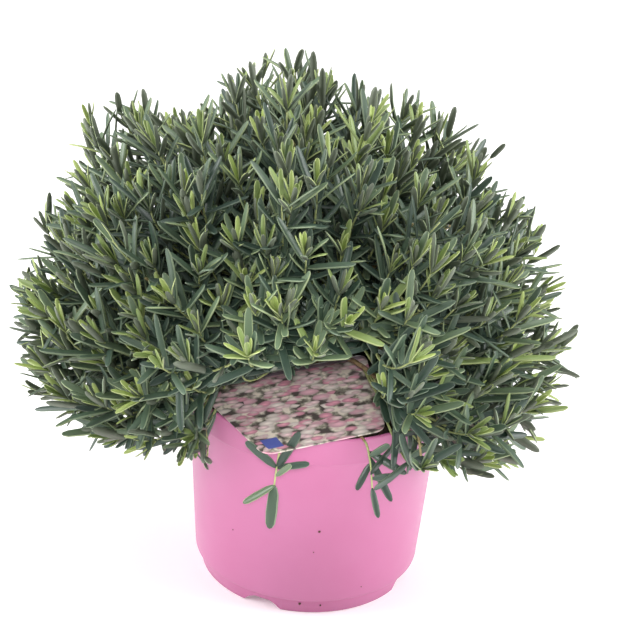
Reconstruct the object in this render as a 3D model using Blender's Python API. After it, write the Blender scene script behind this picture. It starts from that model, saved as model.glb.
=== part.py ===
"""A blue ice bog rosemary in its grower's pot, at its real size.

The pot stands on its flat underside at the origin, with the front towards
-Y. Boughs rise from one short stem in the soil, and each carries one mass of
twigs and leaves that keeps to its own cell of the crown.
"""
import math
import random

import bmesh
import bpy
from mathutils import Matrix, Vector

# Pot, in metres
POT_HEIGHT = 0.1255
FOOT_RADIUS = 0.0651
BODY_RADIUS = 0.0694
BODY_BOTTOM = 0.0108
FOOT_BEVEL = 0.0012
INNER_BEVEL = 0.0020
COLLAR_BEVEL = 0.0008
COLLAR_BOTTOM = 0.1080
COLLAR_STEP = 0.0010
COLLAR_RADIUS = 0.0772
RIM_RADIUS = 0.0781
WALL = 0.0018
FLOOR = 0.0040
POT_SIDES = 48
NOTCH_RADIUS = 0.0150
NOTCH_RISE = 0.0060
NOTCH_DEPTH = 0.0070
NOTCH_AZIMUTHS = (-112.0, -22.0, 68.0, 158.0)

# Soil
GAP = 0.0003
SOIL_EDGE = 0.1135
SOIL_TOP = 0.1170
SOIL_FLAT_RADIUS = 0.0160
SOIL_SHOULDER_RADIUS = 0.0450
SOIL_SHOULDER_RISE = 0.0026
SOIL_SIDES = 36

# Label card on its tongue
CARD_FAR = 0.107
CARD_NEAR = 0.072
CARD_DEPTH = 0.077
CARD_THICK = 0.0008
CARD_CORNER = 0.006
CARD_CENTRE = Vector((-0.0069, -0.0586, 0.1366))
CARD_YAW = 21.6
CARD_ROLL = -5.3
CARD_PITCH = 5.1
TONGUE_WIDTH = 0.010
TONGUE_V = -0.006
TONGUE_BOTTOM = 0.0950

# Stem and boughs
STEM_TOP = 0.1720
STEM_SHARES = (0.0, 0.06, 0.15, 0.3, 0.45, 0.75, 1.0)
STEM_SIDES = 12
STEM_RADII = ((0.0, 0.0085), (0.15, 0.0064), (0.45, 0.0052), (1.0, 0.0042))
STEM_LEAN = Vector((-0.0015, 0.0008, 0.0))
BOUGH_TIP_RADIUS = 0.0011
BOUGH_SIDES = 5
BOUGH_STEPS = 4
BOUGH_RISE = 18.0
BOUGH_RISE_SHARE = 0.45
TOP_BOUGH_RISE_SHARE = 0.30

# Crown: centre, reach of the leaf tips, and how the reach shrinks below the horizon
CROWN_CENTRE = Vector((-0.0180, 0.0, 0.1350))
MEAN_REACH = 0.1720
REACH_LOSS_BELOW = 0.0830
LOSS_STARTS_AT = 0.0500
INNER_RADIUS = 0.0820
SEED_SHARE = 0.75
CELL_MARGIN = 0.0005

# Lobes and hollows of the crown: azimuth, elevation, height and half width in degrees
LOBES = (
    (95.0, 66.0, 0.0160, 10.0),
    (152.0, 45.0, 0.0240, 10.0),
    (136.0, 57.0, -0.0150, 7.0),
    (58.0, 62.0, -0.0070, 9.0),
    (42.0, 55.0, 0.0110, 6.0),
    (26.0, 43.0, 0.0090, 6.0),
    (270.0, 25.0, -0.0100, 40.0),
    (235.0, -10.0, -0.0340, 28.0),
    (300.0, -10.0, -0.0190, 25.0),
)

# Lowest leaves: level at the back, higher towards the front
CROWN_FLOOR = 0.0750
FLOOR_AT_AXIS = 0.0800
FLOOR_RISE = 0.3500

# Open window over the card: its sides, its back, and the floor of the leaves above it
WINDOW_LEFT = -0.0660
WINDOW_RIGHT = 0.0320
WINDOW_BACK = -0.0200
WINDOW_HEIGHT = 0.1340
WINDOW_TILT = 0.3000
WINDOW_SLOPE = 0.5000
WINDOW_AZIMUTH = 265.0
WINDOW_SPREAD = 70.0

# Ring name, masses, first azimuth, step, elevation, lift over the window, start height, bough radius
RINGS = (
    ("top", 1, 120.0, 360.0, 84.0, 0.0, 0.0, 0.0021),
    ("upper", 6, 25.0, 60.0, 57.0, 0.0, 0.1640, 0.0020),
    ("middle", 8, 265.0, 45.0, 25.0, 13.0, 0.1560, 0.0021),
    ("skirt", 8, 312.0, 37.6, -15.0, 13.0, 0.1450, 0.0017),
)
SWAY = 4.0
SWAY_TURN = 2.3
SKIRT_ENTRY_HEIGHT = 0.1510
SKIRT_ENTRY_RADIUS = 0.0950
SKIRT_RISE = 10.0

# Twigs and leaves, larger than life because they are fewer
LEAF_LENGTH = 0.0430
LEAF_WIDTH = 0.0115
LEAF_KEEL = 0.0013
LEAF_ANGLES = (36.0, 46.0, 24.0, 12.0)
LEAF_SHIFTS = (0.0, 0.9, -0.9)
LEAF_SINK = 0.0004
LEAF_NEAR = 0.36
LEAF_FAR = 0.72
LEAF_FAR_WIDTH = 0.86
LEAF_SHARE_ALONG_TWIG = 0.42
SHORTEST_LEAF = 0.78
TWIG_RADIUS = 0.0010
TWIG_ANGLES = (44.0, 34.0, 24.0)
TWIG_SCALES = (1.0, 0.7, 0.45)
TWIG_CLEAR_OF_ROOT = 0.0040
TWIG_LENGTH = 0.0500
TWIG_LENGTH_LOSS = 0.0240
TWIG_FIRST_SHARE = 0.12
TWIG_SHARES = 0.66
TWIGS_PER_MASS = 5
STEM_SHORT_OF_REACH = 0.0290
REACH_ALLOWANCE = 0.0050
LEAVES_PER_TWIG = 3
LEAVES_AT_TIP = 4
LEAF_SCALES = (1.0, 0.75)
STEM_LEAF_SHARES = (0.30, 0.55)
STEM_LEAF_SCALE = 0.9
STEM_TAPER = 0.45
LEADER_ANGLES = (12.0, 24.0, 36.0)
LIMB_CLEARANCE = 0.0034
GROUND_CLEARANCE = 0.0120
THING_CLEARANCE = 0.0030
GOLDEN_TURN = math.radians(137.5)
SEED = 41

# Two small sprigs that hang over the front of the rim
SPRIG_AZIMUTHS = (-101.0, -70.0)
SPRIG_START = 0.1235
SPRIG_CREST = Vector((0.0860, 0.0, 0.1283))
SPRIG_TIP = Vector((0.1060, 0.0, 0.0960))
SPRIG_RADIUS = 0.0013
SPRIG_ARCH = Vector((0.0, 0.0, 0.0014))
SPRIG_DROP = 0.0120
SPRIG_BOUGH_TAPER = 0.4
SPRIG_STEM_SHARE = 0.6
SPRIG_STEM_TAPER = 0.36
SPRIG_ELEVATION = -14.0
SPRIG_LEAF_SHARES = (0.35, 0.55, 0.75, 0.95)
SPRIG_LEAF_SCALE = 0.68
SPRIG_LEAVES_AT_TIP = 3


def material(name, colour, roughness):
    """A Principled material of one colour."""
    made = bpy.data.materials.new(name)
    made.use_nodes = True
    shader = made.node_tree.nodes["Principled BSDF"]
    shader.inputs["Base Color"].default_value = (*colour, 1.0)
    shader.inputs["Roughness"].default_value = roughness
    shader.inputs["Metallic"].default_value = 0.0
    return made


def add_object(name, mesh, look=None, collection=None):
    """Link a new object that shows the mesh."""
    made = bpy.data.objects.new(name, mesh)
    (collection or bpy.context.scene.collection).objects.link(made)
    if look:
        mesh.materials.append(look)
    return made


def solid(name, points, faces):
    """A mesh from points and faces, with every face turned outwards."""
    mesh = bpy.data.meshes.new(name)
    mesh.from_pydata([tuple(p) for p in points], [], faces)
    work = bmesh.new()
    work.from_mesh(mesh)
    bmesh.ops.recalc_face_normals(work, faces=work.faces)
    work.to_mesh(mesh)
    work.free()
    return mesh


def shade(made, angle=40.0):
    """Smooth shading that keeps the edges sharper than the angle."""
    made.data.shade_smooth()
    made.data.set_sharp_from_angle(angle=math.radians(angle))


def turned(name, profile, sides):
    """A solid of revolution: the profile starts and ends on the Z axis."""
    points = [Vector((0.0, 0.0, profile[0][1]))]
    for radius, height in profile[1:-1]:
        for step in range(sides):
            turn = 2.0 * math.pi * step / sides
            points.append(Vector((radius * math.cos(turn), radius * math.sin(turn), height)))
    points.append(Vector((0.0, 0.0, profile[-1][1])))
    rings = len(profile) - 2
    last = len(points) - 1
    faces = []
    for step in range(sides):
        after = (step + 1) % sides
        faces.append((0, 1 + after, 1 + step))
        faces.append((last, 1 + (rings - 1) * sides + step, 1 + (rings - 1) * sides + after))
        for ring in range(rings - 1):
            low = 1 + ring * sides
            high = low + sides
            faces.append((low + step, low + after, high + after, high + step))
    return solid(name, points, faces)


def tube(name, path, radii, sides, ends=(None, None)):
    """A tapering limb of flat-ended rings carried along the path, with the end rings' headings."""
    points = []
    faces = []
    for index, centre in enumerate(path):
        before = path[max(index - 1, 0)]
        after = path[min(index + 1, len(path) - 1)]
        along = (after - before).normalized()
        if index == 0 and ends[0]:
            along = ends[0]
        if index == len(path) - 1 and ends[1]:
            along = ends[1]
        across = along.orthogonal().normalized()
        if index:
            across = (side - along * side.dot(along)).normalized()
        side = across
        third = along.cross(across)
        for step in range(sides):
            turn = 2.0 * math.pi * step / sides
            points.append(centre + radii[index] * (across * math.cos(turn) + third * math.sin(turn)))
    for ring in range(len(path) - 1):
        for step in range(sides):
            after = (step + 1) % sides
            low = ring * sides
            high = low + sides
            faces.append((low + step, low + after, high + after, high + step))
    faces.append(tuple(reversed(range(sides))))
    faces.append(tuple(range((len(path) - 1) * sides, len(path) * sides)))
    return solid(name, points, faces)


def cut(target, cutter):
    """Take the cutter out of the target for good."""
    step = target.modifiers.new("cut", "BOOLEAN")
    step.operation = "DIFFERENCE"
    step.object = cutter
    bake(target)
    bpy.data.objects.remove(cutter)


def bake(target):
    """Turn the object's modifiers into its mesh."""
    graph = bpy.context.evaluated_depsgraph_get()
    done = bpy.data.meshes.new_from_object(target.evaluated_get(graph))
    target.modifiers.clear()
    target.data = done


def block(name, size, place):
    """A box of the given size, put in place by a matrix."""
    mesh = bpy.data.meshes.new(name)
    work = bmesh.new()
    bmesh.ops.create_cube(work, size=1.0, matrix=place @ Matrix.Diagonal((*size, 1.0)))
    work.to_mesh(mesh)
    work.free()
    return add_object(name, mesh)


def wall_radius(height):
    """Outer radius of the pot's body at a height."""
    share = (height - BODY_BOTTOM) / (COLLAR_BOTTOM - BODY_BOTTOM)
    return BODY_RADIUS + share * (COLLAR_RADIUS - COLLAR_STEP - BODY_RADIUS)


def make_pot():
    """Tapered pot with a recessed foot, a collar under the rim and four arched notches."""
    profile = (
        (0.0, 0.0),
        (FOOT_RADIUS, 0.0),
        (FOOT_RADIUS, BODY_BOTTOM - FOOT_BEVEL),
        (BODY_RADIUS, BODY_BOTTOM),
        (wall_radius(COLLAR_BOTTOM), COLLAR_BOTTOM),
        (COLLAR_RADIUS, COLLAR_BOTTOM + COLLAR_BEVEL),
        (RIM_RADIUS, POT_HEIGHT),
        (RIM_RADIUS - WALL, POT_HEIGHT),
        (wall_radius(COLLAR_BOTTOM) - WALL, COLLAR_BOTTOM),
        (BODY_RADIUS - WALL, BODY_BOTTOM + INNER_BEVEL),
        (FOOT_RADIUS - WALL, FLOOR),
        (0.0, FLOOR),
    )
    look = material("pot_pink_plastic", (0.68, 0.22, 0.42), 0.42)
    pot = add_object("pot", turned("pot", profile, POT_SIDES), look)
    for number, azimuth in enumerate(NOTCH_AZIMUTHS):
        radial = Matrix.Rotation(math.radians(azimuth), 4, "Z")
        slide = Matrix.Translation((FOOT_RADIUS, 0.0, NOTCH_RISE - NOTCH_RADIUS))
        lie = Matrix.Rotation(math.radians(90.0), 4, "Y")
        mesh = bpy.data.meshes.new("notch")
        work = bmesh.new()
        bmesh.ops.create_cone(
            work, cap_ends=True, segments=20, radius1=NOTCH_RADIUS, radius2=NOTCH_RADIUS,
            depth=2.0 * NOTCH_DEPTH, matrix=radial @ slide @ lie)
        work.to_mesh(mesh)
        work.free()
        cut(pot, add_object("notch_%d" % number, mesh))
    shade(pot)
    return pot


def make_soil():
    """Peat that fills the pot 0.3 mm clear of it, with a slot for the label's tongue."""
    inner = wall_radius(COLLAR_BOTTOM) - WALL - GAP
    profile = (
        (0.0, FLOOR + GAP),
        (FOOT_RADIUS - WALL - 2.0 * GAP, FLOOR + GAP),
        (BODY_RADIUS - WALL - 2.0 * GAP, BODY_BOTTOM + INNER_BEVEL + GAP),
        (inner - GAP, COLLAR_BOTTOM),
        (inner - GAP, SOIL_EDGE),
        (SOIL_SHOULDER_RADIUS, SOIL_EDGE + SOIL_SHOULDER_RISE),
        (SOIL_FLAT_RADIUS, SOIL_TOP),
        (0.0, SOIL_TOP),
    )
    look = material("soil_peat", (0.035, 0.022, 0.014), 0.95)
    soil = add_object("soil", turned("soil", profile, SOIL_SIDES), look)
    slot_top = SOIL_TOP + 0.01
    slot_bottom = TONGUE_BOTTOM - GAP
    size = (TONGUE_WIDTH + 2.0 * GAP, CARD_THICK + 2.0 * GAP, slot_top - slot_bottom)
    cut(soil, block("slot", size, tongue_place((slot_top + slot_bottom) / 2.0)))
    shade(soil)
    return soil


def card_place():
    """The card's own frame: X along its edges, Y away from the front, Z out of its face."""
    turn = Matrix.Rotation(math.radians(CARD_YAW), 4, "Z")
    turn = turn @ Matrix.Rotation(math.radians(CARD_ROLL), 4, "Y")
    turn = turn @ Matrix.Rotation(math.radians(CARD_PITCH), 4, "X")
    return Matrix.Translation(CARD_CENTRE) @ turn


def tongue_place(height):
    """An upright frame under the card, square to its edges, at the height."""
    foot = card_place() @ Vector((0.0, TONGUE_V, 0.0))
    turn = Matrix.Rotation(math.radians(CARD_YAW), 4, "Z")
    return Matrix.Translation((foot.x, foot.y, height)) @ turn


def card_outline():
    """Four rounded corners of a card that is wider at its far edge."""
    corners = (
        (-CARD_NEAR / 2.0, -CARD_DEPTH / 2.0, 180.0),
        (CARD_NEAR / 2.0, -CARD_DEPTH / 2.0, 270.0),
        (CARD_FAR / 2.0, CARD_DEPTH / 2.0, 0.0),
        (-CARD_FAR / 2.0, CARD_DEPTH / 2.0, 90.0),
    )
    outline = []
    for x, y, start in corners:
        centre = Vector((x - math.copysign(CARD_CORNER, x), y - math.copysign(CARD_CORNER, y)))
        for step in range(5):
            turn = math.radians(start + 22.5 * step)
            outline.append(centre + CARD_CORNER * Vector((math.cos(turn), math.sin(turn))))
    return outline


def make_label():
    """A thin card with a tongue bent down into the soil."""
    outline = card_outline()
    place = card_place()
    count = len(outline)
    points = []
    for height in (-CARD_THICK / 2.0, CARD_THICK / 2.0):
        points += [place @ Vector((p.x, p.y, height)) for p in outline]
    faces = [tuple(range(count)), tuple(range(count, 2 * count))]
    for step in range(count):
        after = (step + 1) % count
        faces.append((step, after, count + after, count + step))
    look = material("label_card", (0.72, 0.55, 0.58), 0.30)
    label = add_object("plant_label", solid("plant_label", points, faces), look)
    top = (place @ Vector((0.0, TONGUE_V, 0.0))).z
    size = (TONGUE_WIDTH, CARD_THICK, top - TONGUE_BOTTOM)
    tongue = block("tongue", size, tongue_place((top + TONGUE_BOTTOM) / 2.0))
    step = label.modifiers.new("join", "BOOLEAN")
    step.operation = "UNION"
    step.object = tongue
    bake(label)
    bpy.data.objects.remove(tongue)
    return label


def stem_centre(height):
    """The short stem's axis at a height: it leans a little."""
    share = (height - SOIL_TOP) / (STEM_TOP - SOIL_TOP)
    return Vector((STEM_LEAN.x * share, STEM_LEAN.y * share, height))


def stem_radius(height):
    """The short stem's radius at a height, flared at the soil."""
    share = (height - SOIL_TOP) / (STEM_TOP - SOIL_TOP)
    for (low, wide), (high, slim) in zip(STEM_RADII, STEM_RADII[1:]):
        if share <= high:
            return wide + (slim - wide) * (share - low) / (high - low)
    return STEM_RADII[-1][1]


def make_stem():
    """The short stem from a flat cut at the soil to where the boughs leave it."""
    low = SOIL_TOP + GAP
    heights = [low + (STEM_TOP - low) * share for share in STEM_SHARES]
    path = [stem_centre(height) for height in heights]
    radii = [stem_radius(height) for height in heights]
    look = material("bark_brown", (0.16, 0.10, 0.06), 0.85)
    points = []
    sides = STEM_SIDES
    for centre, radius in zip(path, radii):
        for step in range(sides):
            turn = 2.0 * math.pi * step / sides
            points.append(centre + radius * Vector((math.cos(turn), math.sin(turn), 0.0)))
    faces = [tuple(reversed(range(sides)))]
    faces.append(tuple(range((len(path) - 1) * sides, len(path) * sides)))
    for ring in range(len(path) - 1):
        for step in range(sides):
            after = (step + 1) % sides
            row = ring * sides
            faces.append((row + step, row + after, row + sides + after, row + sides + step))
    stem = add_object("stem_base", solid("stem_base", points, faces), look)
    shade(stem, 60.0)
    return stem


def heading(azimuth, elevation):
    """Unit vector from two angles in degrees."""
    turn = math.radians(azimuth)
    rise = math.radians(elevation)
    return Vector((math.cos(rise) * math.cos(turn), math.cos(rise) * math.sin(turn), math.sin(rise)))


def reach(direction):
    """How far the leaf tips go from the crown's centre: a sphere with lobes, less below the horizon."""
    total = MEAN_REACH - REACH_LOSS_BELOW * max(-direction.z - LOSS_STARTS_AT, 0.0)
    for azimuth, elevation, height, width in LOBES:
        away = math.degrees(direction.angle(heading(azimuth, elevation)))
        total += height * math.exp(-0.5 * (away / width) ** 2)
    return total


class Mass:
    """One foliage mass: its name, bough, entry point and stem."""

    def __init__(self, name, azimuth, elevation, start, radius):
        self.name = name
        self.azimuth = azimuth
        self.ahead = heading(azimuth, elevation)
        self.start = start
        self.radius = radius
        self.seed = CROWN_CENTRE + SEED_SHARE * reach(self.ahead) * self.ahead
        self.tip = CROWN_CENTRE + (reach(self.ahead) - STEM_SHORT_OF_REACH) * self.ahead
        if name.startswith("skirt"):
            self.entry = CROWN_CENTRE + SKIRT_ENTRY_RADIUS * heading(azimuth, 0.0)
            self.entry.z = SKIRT_ENTRY_HEIGHT
            self.leaving = heading(azimuth, SKIRT_RISE)
        else:
            self.entry = CROWN_CENTRE + INNER_RADIUS * self.ahead
            self.leaving = self.ahead

    def stem_path(self):
        """The mass's stem: it sets off along the bough and bends towards its tip."""
        middle = self.entry + 0.5 * (self.tip - self.entry).length * self.leaving
        path = [bend(self.entry, middle, self.tip, step / 4.0) for step in range(5)]
        path[0] = path[0] + GAP * (path[1] - path[0]).normalized()
        return path


def bend(first, middle, last, share):
    """A point on a quadratic curve."""
    return first.lerp(middle, share).lerp(middle.lerp(last, share), share)


def list_masses():
    """Every foliage mass, ring by ring; those over the window stand higher."""
    masses = []
    for ring, count, azimuth, step, elevation, lift, start, radius in RINGS:
        for number in range(count):
            name = "%s_mass_%d" % (ring, number + 1) if count > 1 else "%s_mass" % ring
            turn = azimuth + step * number
            rise = elevation + SWAY * math.sin(SWAY_TURN * number + elevation)
            if abs((turn - WINDOW_AZIMUTH + 180.0) % 360.0 - 180.0) < WINDOW_SPREAD:
                rise += lift
            masses.append(Mass(name, turn, rise, start, radius))
    return masses


def bough_path(mass):
    """From the short stem's side, 0.3 mm clear, to the mass's entry point."""
    if mass.start == 0.0:
        first = stem_centre(STEM_TOP) + Vector((0.0, 0.0, GAP))
        middle = first + Vector((0.0, 0.0, TOP_BOUGH_RISE_SHARE * (mass.entry - first).length))
    else:
        out = heading(mass.azimuth, 0.0)
        clear = stem_radius(mass.start - mass.radius) + GAP
        first = stem_centre(mass.start) + clear * out
        span = BOUGH_RISE_SHARE * (mass.entry - first).length
        middle = first + span * heading(mass.azimuth, BOUGH_RISE)
    return [bend(first, middle, mass.entry, step / BOUGH_STEPS) for step in range(BOUGH_STEPS + 1)]


def make_bough(mass, look):
    """One tapering limb that ends where it enters its mass."""
    path = bough_path(mass)
    steps = len(path) - 1
    radii = [mass.radius + (BOUGH_TIP_RADIUS - mass.radius) * step / steps for step in range(steps + 1)]
    root = heading(mass.azimuth, 0.0 if mass.start else 90.0)
    stem = mass.stem_path()
    name = "bough_" + mass.name.replace("_mass", "")
    mesh = tube(name, path, radii, BOUGH_SIDES, (root, (stem[1] - stem[0]).normalized()))
    bough = add_object(name, mesh, look)
    shade(bough, 70.0)
    return bough


def leaf_points(root, along, face, length, width):
    """Six points of a leaf: a flat upper face over a keel from root to tip."""
    along = along.normalized()
    face = (face - along * face.dot(along)).normalized()
    across = along.cross(face)
    keel = LEAF_KEEL * length / LEAF_LENGTH
    near = root + LEAF_NEAR * length * along + 0.5 * keel * face
    far = root + LEAF_FAR * length * along + 0.5 * keel * face
    base = root - 0.5 * keel * face
    tip = root + length * along - 0.5 * keel * face
    half = 0.5 * width * across
    return [base, near - half, near + half, far - LEAF_FAR_WIDTH * half, far + LEAF_FAR_WIDTH * half, tip]


LEAF_FACES = (
    (0, 1, 2), (1, 3, 4, 2), (5, 4, 3), (0, 5, 3), (0, 3, 1), (0, 2, 4), (0, 4, 5),
)


def in_cell(point, mass, masses):
    """Whether a point is nearer to this mass's seed than to any other, by a margin."""
    for other in masses:
        if other is mass:
            continue
        across = (other.seed - mass.seed).normalized()
        if (point - (mass.seed + other.seed) / 2.0).dot(across) > -CELL_MARGIN:
            return False
    return True


def near_limb(point, boughs, clear):
    """Whether a point comes too close to a bough's path."""
    for path in boughs:
        for first, last in zip(path, path[1:]):
            span = last - first
            share = max(0.0, min(1.0, (point - first).dot(span) / span.length_squared))
            if (point - first - share * span).length < clear:
                return True
    return False


def in_open_space(point, low_front):
    """Whether a point is clear of the pot, the card, the crown's floor and the window over the card."""
    flat = math.hypot(point.x, point.y)
    if point.z < POT_HEIGHT + THING_CLEARANCE and flat < RIM_RADIUS + THING_CLEARANCE:
        return False
    local = card_place().inverted() @ point
    over_card = abs(local.x) < CARD_FAR / 2.0 + THING_CLEARANCE
    over_card = over_card and abs(local.y) < CARD_DEPTH / 2.0 + THING_CLEARANCE
    if over_card and abs(local.z) < THING_CLEARANCE:
        return False
    if low_front:
        return GROUND_CLEARANCE < point.z < POT_HEIGHT + THING_CLEARANCE
    if point.z < max(CROWN_FLOOR, FLOOR_AT_AXIS - FLOOR_RISE * point.y):
        return False
    if not WINDOW_LEFT < point.x < WINDOW_RIGHT or point.y > WINDOW_BACK:
        return True
    return point.z > WINDOW_HEIGHT + WINDOW_TILT * point.x - WINDOW_SLOPE * point.y


def samples(points):
    """The given points with others between each pair, to test a thin solid."""
    found = list(points)
    for first in range(len(points)):
        for last in range(first + 1, len(points)):
            for share in (0.25, 0.5, 0.75):
                found.append(points[first].lerp(points[last], share))
    return found


class Grower:
    """Grows one mass by the seeded rule and keeps every piece inside its cell."""

    def __init__(self, mass, masses, boughs, low_front=False):
        self.mass = mass
        self.masses = masses
        self.boughs = boughs
        self.low_front = low_front
        self.chance = random.Random(SEED + sum(ord(letter) for letter in mass.name) * 7)
        self.parts = []

    def allowed(self, points):
        """Whether a convex piece stays in the mass's own space and clear of all limbs."""
        if not all(in_cell(point, self.mass, self.masses) for point in points):
            return False
        for point in samples(points):
            if not in_open_space(point, self.low_front):
                return False
            if near_limb(point, self.boughs, LIMB_CLEARANCE):
                return False
        if self.low_front:
            return True
        spans = [point - CROWN_CENTRE for point in points]
        return all(span.length < reach(span.normalized()) + REACH_ALLOWANCE for span in spans)

    def leaf(self, root, axis, turn, length, angles=LEAF_ANGLES):
        """Try a leaf at other lengths, turns and angles until one stays inside."""
        side = axis.orthogonal().normalized()
        for scale in LEAF_SCALES:
            for shift in LEAF_SHIFTS:
                out = Matrix.Rotation(turn + shift, 3, axis) @ side
                for angle in angles:
                    if self.leaf_at(root, axis, out, math.radians(angle), scale * length):
                        return

    def leaf_at(self, root, axis, out, tilt, length):
        """Keep one leaf of the given lean from its shoot if it stays inside."""
        along = axis * math.cos(tilt) + out * math.sin(tilt)
        face = axis * math.sin(tilt) - out * math.cos(tilt)
        start = root - LEAF_SINK * along
        points = leaf_points(start, along, face, length, LEAF_WIDTH * length / LEAF_LENGTH)
        if not self.allowed(points[1:]):
            return False
        self.parts.append(("leaf", points))
        return True

    def twig(self, root, axis, turn, length):
        """Try a side twig, then set its leaves round it."""
        side = axis.orthogonal().normalized()
        for scale in TWIG_SCALES:
            for shift in LEAF_SHIFTS:
                out = Matrix.Rotation(turn + shift, 3, axis) @ side
                for angle in TWIG_ANGLES:
                    tilt = math.radians(angle)
                    along = axis * math.cos(tilt) + out * math.sin(tilt)
                    tip = root + scale * length * along
                    if self.allowed([root + TWIG_CLEAR_OF_ROOT * along, tip]):
                        self.parts.append(("twig", [root, tip]))
                        self.dress(root, tip, LEAVES_PER_TWIG)
                        return

    def dress(self, first, last, count):
        """Leaves round the outer part of a shoot, in a spiral that ends at its tip."""
        axis = (last - first).normalized()
        start = self.chance.uniform(0.0, 2.0 * math.pi)
        for number in range(count):
            share = 1.0 - LEAF_SHARE_ALONG_TWIG * number / count
            root = first.lerp(last, share) - LEAF_SINK * axis
            length = LEAF_LENGTH * self.chance.uniform(SHORTEST_LEAF, 1.0)
            self.leaf(root, axis, start + number * GOLDEN_TURN, length)


def join_parts(name, host, parts, look):
    """One Boolean union of the host and a collection of twigs and leaves."""
    group = bpy.data.collections.new("parts_of_" + name)
    for number, (kind, points) in enumerate(parts):
        if kind == "leaf":
            mesh = solid("leaf", points, LEAF_FACES)
        else:
            mesh = tube("twig", points, (TWIG_RADIUS * 1.15, TWIG_RADIUS * 0.75), 3)
        add_object("%s_part_%d" % (name, number), mesh, None, group)
    bpy.context.scene.collection.children.link(group)
    step = host.modifiers.new("join", "BOOLEAN")
    step.operation = "UNION"
    step.operand_type = "COLLECTION"
    step.collection = group
    bake(host)
    for made in list(group.objects):
        bpy.data.objects.remove(made)
    bpy.data.collections.remove(group)
    host.data.materials.clear()
    host.data.materials.append(look)
    drop_scraps(host)


def drop_scraps(host):
    """Keep the largest shell: loose scraps and sealed hollows go."""
    work = bmesh.new()
    work.from_mesh(host.data)
    bmesh.ops.triangulate(work, faces=work.faces)
    left = set(work.faces)
    shells = []
    while left:
        stack = [left.pop()]
        shell = set(stack)
        while stack:
            for edge in stack.pop().edges:
                for face in edge.link_faces:
                    if face in left:
                        left.remove(face)
                        shell.add(face)
                        stack.append(face)
        shells.append(shell)
    shells.sort(key=len)
    for shell in shells[:-1]:
        bmesh.ops.delete(work, geom=list(shell), context="FACES")
    work.to_mesh(host.data)
    work.free()


def make_mass(mass, masses, boughs, look):
    """Stem, twigs and leaves of one mass, fused into one solid, with one leaf that leads at its tip."""
    grower = Grower(mass, masses, boughs)
    path = mass.stem_path()
    steps = len(path) - 1
    radii = [BOUGH_TIP_RADIUS * (1.0 - STEM_TAPER * step / steps) for step in range(steps + 1)]
    first = (path[1] - path[0]).normalized()
    host = add_object(mass.name, tube(mass.name, path, radii, 3, (first, None)), look)
    turn = grower.chance.uniform(0.0, 2.0 * math.pi)
    for number in range(TWIGS_PER_MASS):
        share = TWIG_FIRST_SHARE + TWIG_SHARES * number / (TWIGS_PER_MASS - 1)
        root, axis = along_path(path, share)
        grower.twig(root, axis, turn + number * GOLDEN_TURN, TWIG_LENGTH - TWIG_LENGTH_LOSS * share)
    for number, share in enumerate(STEM_LEAF_SHARES):
        root, axis = along_path(path, share)
        grower.leaf(root, axis, turn + (number + 0.5) * GOLDEN_TURN, LEAF_LENGTH * STEM_LEAF_SCALE)
    grower.dress(path[-2], path[-1], LEAVES_AT_TIP)
    root, axis = along_path(path, 1.0)
    grower.leaf(root, axis, turn, STEM_SHORT_OF_REACH, LEADER_ANGLES)
    join_parts(mass.name, host, grower.parts, look)


def along_path(path, share):
    """A point and a heading on a path of even steps."""
    place = share * (len(path) - 1)
    index = min(int(place), len(path) - 2)
    span = path[index + 1] - path[index]
    return path[index] + span * (place - index), span.normalized()


def sprig_paths(azimuth):
    """A sprig's bough over the rim, and the stem that hangs from it."""
    turn = Matrix.Rotation(math.radians(azimuth), 3, "Z")
    out = heading(azimuth, 0.0)
    first = stem_centre(SPRIG_START) + (stem_radius(SPRIG_START - SPRIG_RADIUS) + GAP) * out
    crest = turn @ SPRIG_CREST
    tip = turn @ SPRIG_TIP
    rise = first.lerp(crest, 0.5) + SPRIG_ARCH
    bough = [bend(first, rise, crest, step / 4.0) for step in range(5)]
    stem = [bend(crest, crest + SPRIG_DROP * out, tip, step / 3.0) for step in range(4)]
    stem[0] = stem[0] + GAP * (stem[1] - stem[0]).normalized()
    return bough, stem


def make_sprig(number, azimuth, looks):
    """A small sprig: few leaves, hanging in front of the collar."""
    bough_line, stem_line = sprig_paths(azimuth)
    steps = len(bough_line) - 1
    radii = [SPRIG_RADIUS * (1.0 - SPRIG_BOUGH_TAPER * step / steps) for step in range(steps + 1)]
    name = "sprig_%d" % number
    first = (stem_line[1] - stem_line[0]).normalized()
    ends = (heading(azimuth, 0.0), first)
    bough = add_object("bough_" + name, tube("bough", bough_line, radii, BOUGH_SIDES, ends), looks["bough"])
    shade(bough, 70.0)
    mass = Mass(name + "_mass", azimuth, SPRIG_ELEVATION, SPRIG_START, SPRIG_RADIUS)
    grower = Grower(mass, [mass], [bough_line], True)
    steps = len(stem_line) - 1
    wide = SPRIG_RADIUS * SPRIG_STEM_SHARE
    radii = [wide * (1.0 - SPRIG_STEM_TAPER * step / steps) for step in range(steps + 1)]
    host = add_object(mass.name, tube(mass.name, stem_line, radii, 3, (first, None)), looks["leaf"])
    for step, share in enumerate(SPRIG_LEAF_SHARES):
        root, axis = along_path(stem_line, share)
        grower.leaf(root, axis, step * GOLDEN_TURN, LEAF_LENGTH * SPRIG_LEAF_SCALE)
    grower.dress(stem_line[-2], stem_line[-1], SPRIG_LEAVES_AT_TIP)
    join_parts(mass.name, host, grower.parts, looks["leaf"])


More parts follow.
